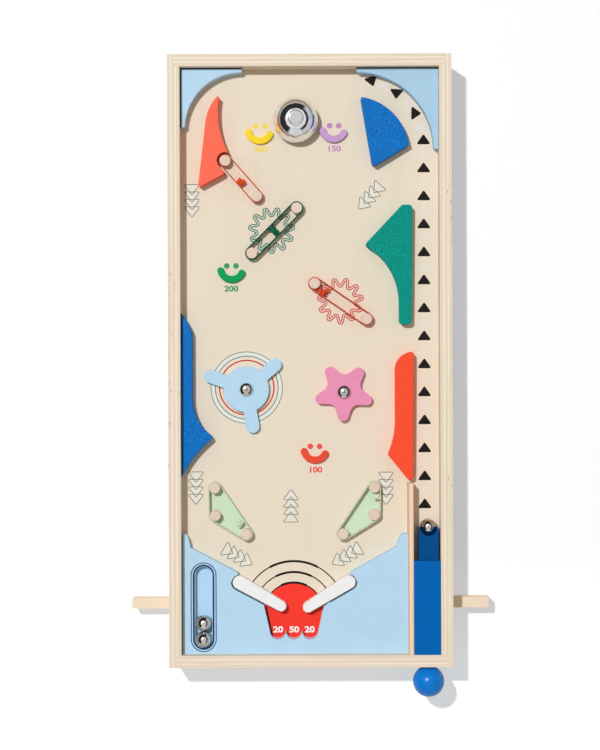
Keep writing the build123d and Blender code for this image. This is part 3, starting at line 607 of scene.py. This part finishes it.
# Place and way of each arrowhead round the curve
curve_arrows = (((62.2, 275.9), -73.0), ((86.4, 263.4), -95.0), ((106.2, 244.6), -1.0))
for place, degrees in curve_arrows:
    lane_marks.fill(arrowhead(place, degrees))
curve_ghosts = ((74.8, 272.5), (97.6, 256.0), (110.8, 231.5))
curve_ghost_way = 60.0
for place in curve_ghosts:
    lane_ghosts.fill(arrowhead(place, curve_ghost_way))
lane_marks.make()
lane_ghosts.make()

# Groups of four outlined arrowheads
group_fill = Print("arrow_group_fill", group_white_ink, field_top, stacked=True)
group_line = Print("arrow_group_lines", grey_ink, field_top, layer=4, stacked=True)
group_base = 15.6
group_height = 10.4
group_pitch = 7.35
group_round = 0.8
group_line_width = 0.65
group_count = 4
# Foot of the first arrowhead, and the way that all of them point
arrow_groups = (
    ((-116.3, 174.9), -90.0),
    ((70.4, 173.8), -132.5),
    ((-113.4, -109.5), -90.0),
    ((-19.5, -159.4), 90.0),
    ((-86.0, -185.2), -30.0),
    ((49.0, -185.2), 210.0),
    ((74.6, -110.4), -90.0),
)
for first, degrees in arrow_groups:
    for i in range(group_count):
        foot = polar(first, i * group_pitch, degrees)
        outline = rounded(triangle(foot, degrees, group_base, group_height), group_round)
        group_fill.fill(outline)
        group_line.stroke(outline, group_line_width)
group_fill.make()
group_line.make()

# Starbursts round the bands: a tinted ribbon, on two of them between thin lines
burst_points = 11
burst_tip = 27.2
burst_valley = 13.0
burst_turn = 8.5
burst_round = 1.7
burst_ribbon = 2.1
burst_line = 0.85


def starburst(name, centre, tint, line_ink):
    corners = []
    for i in range(burst_points):
        step = 360.0 / burst_points
        corners.append(polar(centre, burst_tip, burst_turn + i * step))
        corners.append(polar(centre, burst_valley, burst_turn + (i + 0.5) * step))
    middle = rounded(corners, burst_round)
    ribbon = Print(f"{name}_ribbon", tint, field_top)
    ribbon.stroke(middle, burst_ribbon)
    ribbon.make()
    if line_ink is None:
        return
    lines = Print(f"{name}_lines", line_ink, field_top, layer=1)
    for side in (-1.0, 1.0):
        lines.stroke(grown(middle, side * burst_ribbon / 2.0), burst_line)
    lines.make()


pale_mint_ink = ink("pale_mint_ink", srgb(212, 226, 202), cover=0.15)
burst_mint_ink = ink("burst_mint_ink", srgb(186, 222, 208), cover=0.7)
burst_green_ink = ink("burst_green_ink", srgb(0, 74, 58), cover=0.97)
burst_pink_ink = ink("burst_pink_ink", srgb(250, 196, 186), cover=0.8)
burst_red_ink = ink("burst_red_ink", srgb(178, 24, 28), cover=0.97)
starburst("burst_upper", (-67.5, 179.8), pale_mint_ink, None)
starburst("burst_green", (-37.6, 129.2), burst_mint_ink, burst_green_ink)
starburst("burst_red", (30.2, 59.1), burst_pink_ink, burst_red_ink)

# Rings round the spinner
spinner_low, spinner_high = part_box("spinner_pivot")
spinner_centre = ((spinner_low.x + spinner_high.x) / 2.0 / mm, (spinner_low.y + spinner_high.y) / 2.0 / mm)
ring_offset = (0.3, 1.7)
ring_centre = (spinner_centre[0] + ring_offset[0], spinner_centre[1] + ring_offset[1])
# Name, radius, width, ink and layer
spinner_rings = (
    ("ring_pale", 33.2, 4.2, ink("ring_pale_ink", srgb(228, 233, 228), cover=0.8), 0),
    ("ring_pink", 26.9, 3.4, ink("ring_pink_ink", srgb(249, 220, 203), cover=0.6), 0),
    ("ring_red", 26.9, 1.4, ink("ring_red_ink", srgb(190, 48, 40), cover=0.94), 1),
    ("ring_teal", 31.1, 0.9, ink("ring_teal_ink", srgb(88, 118, 122), cover=0.9), 1),
    ("ring_grey", 35.3, 0.75, ink("ring_grey_ink", srgb(104, 112, 110), cover=0.9), 1),
)
for name, radius, width, material, layer in spinner_rings:
    mark = Print(name, material, field_top, layer)
    mark.ring(ring_centre, radius, width)
    mark.make()

# Smiling targets: two eyes and a score each
eye_radius = 2.8
eye_points = 40
score_height = 5.6
# Name, score and its place, places of the eyes, colour
smile_marks = (
    ("yellow", "300", (-48.3, 209.3), ((-52.7, 232.4), (-43.8, 232.3)), srgb(246, 214, 84)),
    ("purple", "150", (24.4, 209.6), ((20.2, 232.6), (29.2, 232.5)), srgb(186, 136, 190)),
    ("green", "200", (-77.7, 71.4), ((-82.1, 94.2), (-73.0, 94.2)), srgb(30, 152, 90)),
    ("red", "100", (4.7, -108.0), ((-0.1, -84.6), (9.0, -84.7)), srgb(232, 74, 62)),
)
for name, score, place, eyes, colour in smile_marks:
    material = ink(f"{name}_smile_ink", colour, cover=0.93)
    dots = Print(f"eyes_{name}", material, field_top)
    for eye in eyes:
        dots.fill(circle(eye, eye_radius, eye_points))
    dots.make()
    number(score, place, score_height, field_top, material)

# Score pocket: red ground, black arcs and three scores
dome_centre = (-17.0, -248.5)
dome_radius = 29.2
dome_side = 20.0
pocket_x = -16.75
pocket_mouth = (29.0, -242.5)
lobe_radius = 7.8
lobe_pitch = 16.0
lobe_line = -266.0
lobe_step = 9.0
ground = Print("pocket_ground", red_ink, field_top)
ground_outline = arc(dome_centre, dome_radius, dome_side, 180.0 - dome_side)
ground_outline.append((pocket_x - pocket_mouth[0], pocket_mouth[1]))
for i in (-1, 0, 1):
    ground_outline += arc((pocket_x + i * lobe_pitch, lobe_line), lobe_radius, 180.0, 360.0, lobe_step)
ground_outline.append((pocket_x + pocket_mouth[0], pocket_mouth[1]))
ground.fill(ground_outline)
ground.make()
dome_lines = Print("pocket_arcs", black_ink, field_top, layer=1, stacked=True)
thin_line = 1.15
thick_line = 2.2
# Radius, half angle of the thick stretch and of the thin line
dome_arcs = ((dome_radius, 26.0, 54.0), (39.6, 26.5, 60.0), (50.4, 28.0, 58.0))
for radius, thick_half, thin_half in dome_arcs:
    dome_lines.sweep(dome_centre, radius, thick_line, 90.0 - thick_half, 90.0 + thick_half)
    dome_lines.sweep(dome_centre, radius, thin_line, 90.0 - thin_half, 90.0 + thin_half)
dome_lines.make()
pocket_score_height = 6.0
pocket_scores = (("20", (-32.7, -265.9)), ("50", (-16.8, -266.0)), ("20", (-1.5, -266.0)))
for score, place in pocket_scores:
    number(score, place, pocket_score_height, field_top + ink_thickness, white_ink)

# Dark joints where pieces meet the left and the rear rail, drawn wider and darker as painted shade where the
# rails' shadow falls
joint_shade_ink = ink("joint_shade_ink", srgb(20, 30, 36), cover=0.98, under=srgb(60, 84, 96))
joint_shade_width = 0.8
guide_joint_shade_width = 1.2


def shaded_joint(name, node, side, width=joint_shade_width):
    """A dark line along the left or the rear edge of a piece's top: a joint, widened as painted shade of the
    rail.
    """
    low, high = (Vector(corner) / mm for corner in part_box(node))
    mark = Print(name, joint_shade_ink, high.z)
    if side == "left":
        high.x = low.x + width
    else:
        low.y = high.y - width
    mark.fill([(low.x, low.y), (high.x, low.y), (high.x, high.y), (low.x, high.y)])
    mark.make()


shaded_joint("joint_shade_apron", "apron", "left")
shaded_joint("joint_shade_blue_fin", "blue_fin", "left")
shaded_joint("joint_shade_guide_left", "corner_guide_left", "left", guide_joint_shade_width)
shaded_joint("joint_shade_guide_rear_left", "corner_guide_left", "rear", guide_joint_shade_width)
shaded_joint("joint_shade_guide_rear_right", "corner_guide_right", "rear", guide_joint_shade_width)

# Painted shade beside the flippers, widening their dark gaps: round the heel, then straight along the lower
# side
gap_shade_width = 0.6
recess_heel = 7.6


def flipper_gap_shade(name, shaft, start, end, reach):
    """A line of painted shade from one angle to another round a shaft, and on by a reach."""
    low, high = (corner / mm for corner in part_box(shaft))
    heel = ((low.x + high.x) / 2.0, (low.y + high.y) / 2.0)
    lines = []
    for radius in (recess_heel, recess_heel + gap_shade_width):
        line = arc(heel, radius, start, end)
        line.append(polar(line[-1], reach, end + math.copysign(90.0, end - start)))
        lines.append(line)
    inner, outer = lines if end > start else reversed(lines)
    mark = Print(name, joint_shade_ink, apron_top)
    mark.fill(outer + inner[::-1])
    mark.make()


flipper_gap_shade("shade_gap_flipper_left", "flipper_shaft_left", 175.0, 241.9, 32.0)
flipper_gap_shade("shade_gap_flipper_right", "flipper_shaft_right", 5.0, -60.3, 26.0)

# Painted shadow at the foot of the pocket's left wall
wall_shade_width = 1.4
wall_shadow_ink = ink("wall_shadow_ink", srgb(60, 8, 18), cover=0.98, under=srgb(120, 20, 24))
wall_line = [(pocket_x - pocket_mouth[0], pocket_mouth[1])]
wall_line += arc((pocket_x - lobe_pitch, lobe_line), lobe_radius, 180.0, 225.0)
wall_shadow_mark = Print("pocket_wall_shadow", wall_shadow_ink, field_top, layer=1)
wall_shadow_mark.fill(wall_line + [(x + wall_shade_width, y) for x, y in reversed(wall_line)])
wall_shadow_mark.make()

# Elastic bands, tied with a knot on one run
peg_radius = 5.4
band_gap = 0.05
band_middle = (band_low + band_high) / 2.0
band_height = band_high - band_low
# Pegs, share of the run where the knot sits, thickness
bands = {
    "orange": (((-83.0, 197.4), (-52.1, 162.2)), 0.55, 0.9),
    "green": (((-57.0, 106.2), (-12.7, 150.6)), 0.5, 1.3),
    "red": (((4.7, 76.2), (55.9, 41.0)), 0.18, 1.0),
    "left_mint": (((-63.35, -170.7), (-94.35, -125.0), (-94.05, -152.0)), 0.22, 1.0),
    "right_mint": (((62.55, -152.0), (62.85, -125.0), (31.85, -170.7)), 0.65, 1.0),
}
mint_fill = Print("mint_ground", mint_ink, field_top)
for name in ("left_mint", "right_mint"):
    mint_fill.fill(belt(bands[name][0], peg_radius + band_gap))
mint_fill.make()

sharp_angle = 45.0
rib_share = 0.12


class Ribbon:
    """A mesh of strips and cords, each swept along its own line."""

    def __init__(self):
        self.points = []
        self.faces = []

    def sweep(self, line, section, closed=False, roll=0.0, turn=0.0):
        """Sweeps a closed section (out, up) along a line, rolled at first, then turned steadily."""
        rings = []
        count = len(line)
        for i, point in enumerate(line):
            point = Vector(point)
            before = Vector(line[i - 1]) if closed or i else point
            after = Vector(line[(i + 1) % count]) if closed or i < count - 1 else point
            ahead = (after - before).normalized()
            out = ahead.cross(Vector((0.0, 0.0, 1.0))).normalized()
            up = out.cross(ahead)
            angle = math.radians(roll + turn * i / max(1, count - 1))
            side = out * math.cos(angle) + up * math.sin(angle)
            rise = up * math.cos(angle) - out * math.sin(angle)
            rings.append(len(self.points))
            self.points += [tuple((point + side * a + rise * b) * mm) for a, b in section]
        size = len(section)
        for i in range(count if closed else count - 1):
            this = rings[i]
            other = rings[(i + 1) % count]
            for j in range(size):
                k = (j + 1) % size
                self.faces.append([this + j, this + k, other + k, other + j])
        if not closed:
            self.faces.append([rings[0] + j for j in reversed(range(size))])
            self.faces.append([rings[-1] + j for j in range(size)])

    def make(self, name, material):
        mesh = bpy.data.meshes.new(name)
        mesh.from_pydata(self.points, [], self.faces)
        mesh.materials.append(material)
        mesh.shade_smooth()
        mesh.set_sharp_from_angle(angle=math.radians(sharp_angle))
        piece = bpy.data.objects.new(name, mesh)
        scene.collection.objects.link(piece)
        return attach(piece, "cabinet")


def strip_section(thickness, width, ribs=6):
    """A flat woven section with shallow ribs on both faces."""
    rib = rib_share * thickness
    right = []
    for i in range(2 * ribs + 1):
        height = width * (i / (2.0 * ribs) - 0.5)
        right.append((thickness / 2.0 - (rib if i % 2 == 0 else 0.0), height))
    left = [(-out, height) for out, height in reversed(right)]
    return right + left


def cord_section(radius, count=10):
    return [(radius * math.cos(2 * math.pi * i / count), radius * math.sin(2 * math.pi * i / count))
            for i in range(count)]


# Painted lines round the ball tray: one over its edge, one outside it
tray_x = -105.7
tray_half = 9.75
tray_front = -283.1
tray_rear = -201.0
tray_outer_gap = 2.5
tray_outer_width = 1.0
edge_paint_out = 0.8
edge_paint_in = 0.85
edge_film = 0.04
edge_paint = (
    (edge_paint_out, 0.0),
    (edge_paint_out, edge_film),
    (0.0, edge_film),
    (-edge_paint_in, edge_film - edge_paint_in),
    (-edge_paint_in, -edge_film - edge_paint_in),
    (0.0, 0.0),
)


def tray_outline(gap):
    half = tray_half + gap
    outline = arc((tray_x, tray_rear - tray_half), half, 0.0, 180.0)
    return outline + arc((tray_x, tray_front + tray_half), half, 180.0, 360.0)


tray_edge = Ribbon()
tray_edge.sweep([(x, y, apron_top) for x, y in tray_outline(0.0)], edge_paint, closed=True)
tray_edge.make("tray_edge_line", navy_ink)
tray_outer = Print("tray_outer_line", dim_navy_ink, apron_top)
tray_outer.stroke(tray_outline(tray_outer_gap), tray_outer_width)
tray_outer.make()

# Each band with its knot and tails
knot_size = 0.85
knot_flatness = 0.75
knot_rise = 1.1
knot_cord = 1.05
knot_steps = 72
tail_steps = 8
tail_width = 3.0
tail_thickness = 0.8
tail_start = 0.6
tail_bow = 0.6
tail_lift = 1.2
tail_drop = 1.4
tail_stagger = 0.3
tail_roll = 65.0
tail_twist = 30.0
# Depth of the knot inside the band's line, length of its tails and their ways from the run
tail_fans = {
    "orange": (3.6, 3.4, (-150.0, -35.0, 30.0, 85.0, 150.0)),
    "green": (3.2, 8.0, (70.0, 112.0)),
    "red": (1.9, 7.6, (140.0, 172.0, 60.0)),
    "left_mint": (4.4, 4.2, (60.0, 125.0)),
    "right_mint": (1.9, 4.2, (55.0, 120.0)),
}


def knot_line(seat, run, inward):
    """A closed trefoil."""
    line = []
    for i in range(knot_steps):
        t = 2.0 * math.pi * i / knot_steps
        a = (math.sin(t) + 2.0 * math.sin(2.0 * t)) * knot_size
        b = (math.cos(t) - 2.0 * math.cos(2.0 * t)) * knot_size * knot_flatness
        spot = seat + run * a + inward * b
        line.append((spot.x, spot.y, band_middle + math.sin(3.0 * t) * knot_rise))
    return line


def tail_line(seat, way, length, side):
    """A tail that bows to one side and drops towards its end."""
    line = []
    for i in range(tail_steps + 1):
        share = i / tail_steps
        spot = seat + way * (tail_start + length * share)
        spot += Vector((-way.y, way.x)) * tail_bow * side * math.sin(share * math.pi)
        line.append((spot.x, spot.y, band_middle + tail_lift - tail_drop * share ** 2 + tail_stagger * side))
    return line


for name, (pegs, knot_share, band_thickness) in bands.items():
    band_radius = peg_radius + band_gap + band_thickness / 2.0
    ribbon = Ribbon()
    band_line = [(x, y, band_middle) for x, y in belt(pegs, band_radius)]
    ribbon.sweep(band_line, strip_section(band_thickness, band_height), closed=True)
    start = Vector(pegs[0])
    end = Vector(pegs[1])
    run = (end - start).normalized()
    inward = Vector((-run.y, run.x))
    knot_depth, tail_length, tail_ways = tail_fans[name]
    seat = start + (end - start) * knot_share - inward * (band_radius - knot_depth)
    ribbon.sweep(knot_line(seat, run, inward), cord_section(knot_cord), closed=True)
    tail_section = strip_section(tail_thickness, tail_width, ribs=3)
    for i, degrees in enumerate(tail_ways):
        angle = math.radians(degrees)
        way = run * math.cos(angle) + inward * math.sin(angle)
        side = -1.0 if i % 2 else 1.0
        ribbon.sweep(tail_line(seat, way, tail_length, side), tail_section,
                     roll=tail_roll * side, turn=tail_twist * side)
    slot_name = f"{name.split('_')[-1]}_elastic".replace("green_elastic", "dark_green_elastic")
    piece = ribbon.make(f"tied_band_{name}", finishes[slot_name])
    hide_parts(f"elastic_band_{name}")

# Floor of white paper
floor_half = 5.0
floor_mesh = bpy.data.meshes.new("floor")
floor_mesh.from_pydata([(-floor_half, -floor_half, 0.0), (floor_half, -floor_half, 0.0),
                        (floor_half, floor_half, 0.0), (-floor_half, floor_half, 0.0)], [], [(0, 1, 2, 3)])
floor = bpy.data.objects.new("floor", floor_mesh)
scene.collection.objects.link(floor)
paper = Shader("white_paper")
paper_dim = (0.976, 0.913, 0.849, 1.0)
paper_bright = (0.986, 0.922, 0.857, 1.0)
paper_tone = paper.mix(paper.noise(30.0, detail=3.0), paper_dim, paper_bright)
floor_mesh.materials.append(paper.finish(base_color=paper_tone, roughness=0.9, specular_ior_level=matt))
# To the camera the paper glows towards white as painted light: more in front of the game, where the shadow
# shows paler than beside it, and wholly far from it
front_lift = (1.61, 1.86, 2.13, 1.0)
side_lift = (1.02, 1.28, 1.55, 1.0)
front_end = -0.33
side_start = -0.17
near_share = 0.22
near_reach = 0.6
far_reach = 1.4
lift = paper.add("ShaderNodeEmission")
beside = paper.remap(paper.axis("Y"), front_end, side_start)
paper.feed(lift.inputs["Color"], paper.mix(beside, front_lift, side_lift))
lift_share = paper.remap(paper.vector("LENGTH", paper.place), near_reach, far_reach, near_share, 1.0)
lift_share = paper.math("MULTIPLY", paper.add("ShaderNodeLightPath").outputs["Is Camera Ray"], lift_share)
lifted = paper.blend(lift_share, paper.surface.outputs[0], lift.outputs[0])
paper.feed(paper.tree.nodes["Material Output"].inputs["Surface"], lifted)

# World: even fill light, a white ground behind everything, and a plain room for the metal to mirror
fill_light = (0.375, 0.345, 0.300, 1.0)
white = (1.0, 1.0, 1.0, 1.0)
lamp_place = (-0.985, 1.053, 3.354)
# Brightness of the room by the sine of the height above the horizon
room_levels = ((0.0, 0.60), (0.03, 0.50), (0.08, 0.03), (0.74, 0.02), (0.83, 1.0), (0.9, 0.84), (1.0, 0.46))
room_tint = 1.02
ripple_scale = 5.0
ripple_detail = 3.0
ripple_height = 0.16
# Way to the middle of each panel, start and end of its soft side, its top and its colour
panels = (
    ((-0.035, -0.999, 0.0), 0.82, 0.91, 0.73, (0.78, 0.78, 0.79, 1.0)),
    ((0.997, -0.078, 0.0), 0.42, 0.62, 0.48, (0.60, 0.60, 0.66, 1.0)),
)
panel_fade = 0.06
softbox_light = (1.5, 1.5, 1.48, 1.0)
softbox_outside = 0.955
softbox_inside = 0.98


def background(sky, colour):
    node = sky.add("ShaderNodeBackground")
    sky.feed(node.inputs["Color"], colour)
    return node.outputs[0]


def mirrored_room(sky):
    """Colour of the room in each direction."""
    direction = sky.add("ShaderNodeTexCoord").outputs["Generated"]
    ripple = sky.add("ShaderNodeTexNoise")
    sky.feed(ripple.inputs["Vector"], direction)
    sky.feed(ripple.inputs["Scale"], ripple_scale)
    sky.feed(ripple.inputs["Detail"], ripple_detail)
    sway = sky.math("MULTIPLY", sky.math("SUBTRACT", ripple.outputs[0], 0.5), ripple_height)
    height = sky.math("ADD", sky.component(direction, "Z"), sway)
    stops = [(place, (level, level, level * room_tint, 1.0)) for place, level in room_levels]
    colour = sky.ramp(height, *stops)
    level_way = sky.vector("NORMALIZE", sky.vector("MULTIPLY", direction, (1.0, 1.0, 0.0)))
    for way, outside, inside, top, panel_colour in panels:
        share = sky.math("MULTIPLY", sky.remap(sky.vector("DOT_PRODUCT", level_way, way), outside, inside),
                         sky.remap(height, top, top + panel_fade, 1.0, 0.0))
        colour = sky.mix(share, colour, panel_colour)
    toward = sky.vector("DOT_PRODUCT", direction, Vector(lamp_place).normalized())
    return sky.mix(sky.remap(toward, softbox_outside, softbox_inside), colour, softbox_light)


world = bpy.data.worlds.new("studio")
scene.world = world
world.use_nodes = True
sky = Graph(world.node_tree)
sky.tree.nodes.clear()
ray = sky.add("ShaderNodeLightPath").outputs
lit = sky.blend(ray["Is Glossy Ray"], background(sky, fill_light), background(sky, mirrored_room(sky)))
seen = sky.blend(ray["Is Camera Ray"], lit, background(sky, white))
sky.feed(sky.add("ShaderNodeOutputWorld").inputs["Surface"], seen)

# Key lamp, high on the left behind the rear end, as bright at every distance
lamp_size = 0.14
lamp_energy = 97.0
lamp_colour = (0.93, 0.965, 1.0)
lamp_data = bpy.data.lights.new("key", "AREA")
lamp_data.shape = "DISK"
lamp_data.size = lamp_size
lamp_data.energy = lamp_energy
lamp_data.color = lamp_colour
lamp_data.use_nodes = True
lamp_tree = lamp_data.node_tree
falloff = lamp_tree.nodes.new("ShaderNodeLightFalloff")
falloff.inputs["Strength"].default_value = 1.0 / Vector(lamp_place).length_squared
lamp_tree.links.new(falloff.outputs["Constant"], lamp_tree.nodes["Emission"].inputs["Strength"])
lamp = bpy.data.objects.new("key", lamp_data)
lamp.location = lamp_place
lamp.rotation_euler = (-Vector(lamp.location)).to_track_quat("-Z", "Y").to_euler()
scene.collection.objects.link(lamp)

# Camera straight above
camera_place = (-0.01006, -0.01397, 1.680)
camera_roll = -0.22
camera_lens = 79.6
camera_sensor = 36.0
camera_data = bpy.data.cameras.new("camera")
camera_data.lens = camera_lens
camera_data.sensor_width = camera_sensor
camera = bpy.data.objects.new("camera", camera_data)
camera.location = camera_place
camera.rotation_euler = (0.0, 0.0, math.radians(camera_roll))
scene.collection.objects.link(camera)
scene.camera = camera

scene.view_settings.view_transform = "Standard"
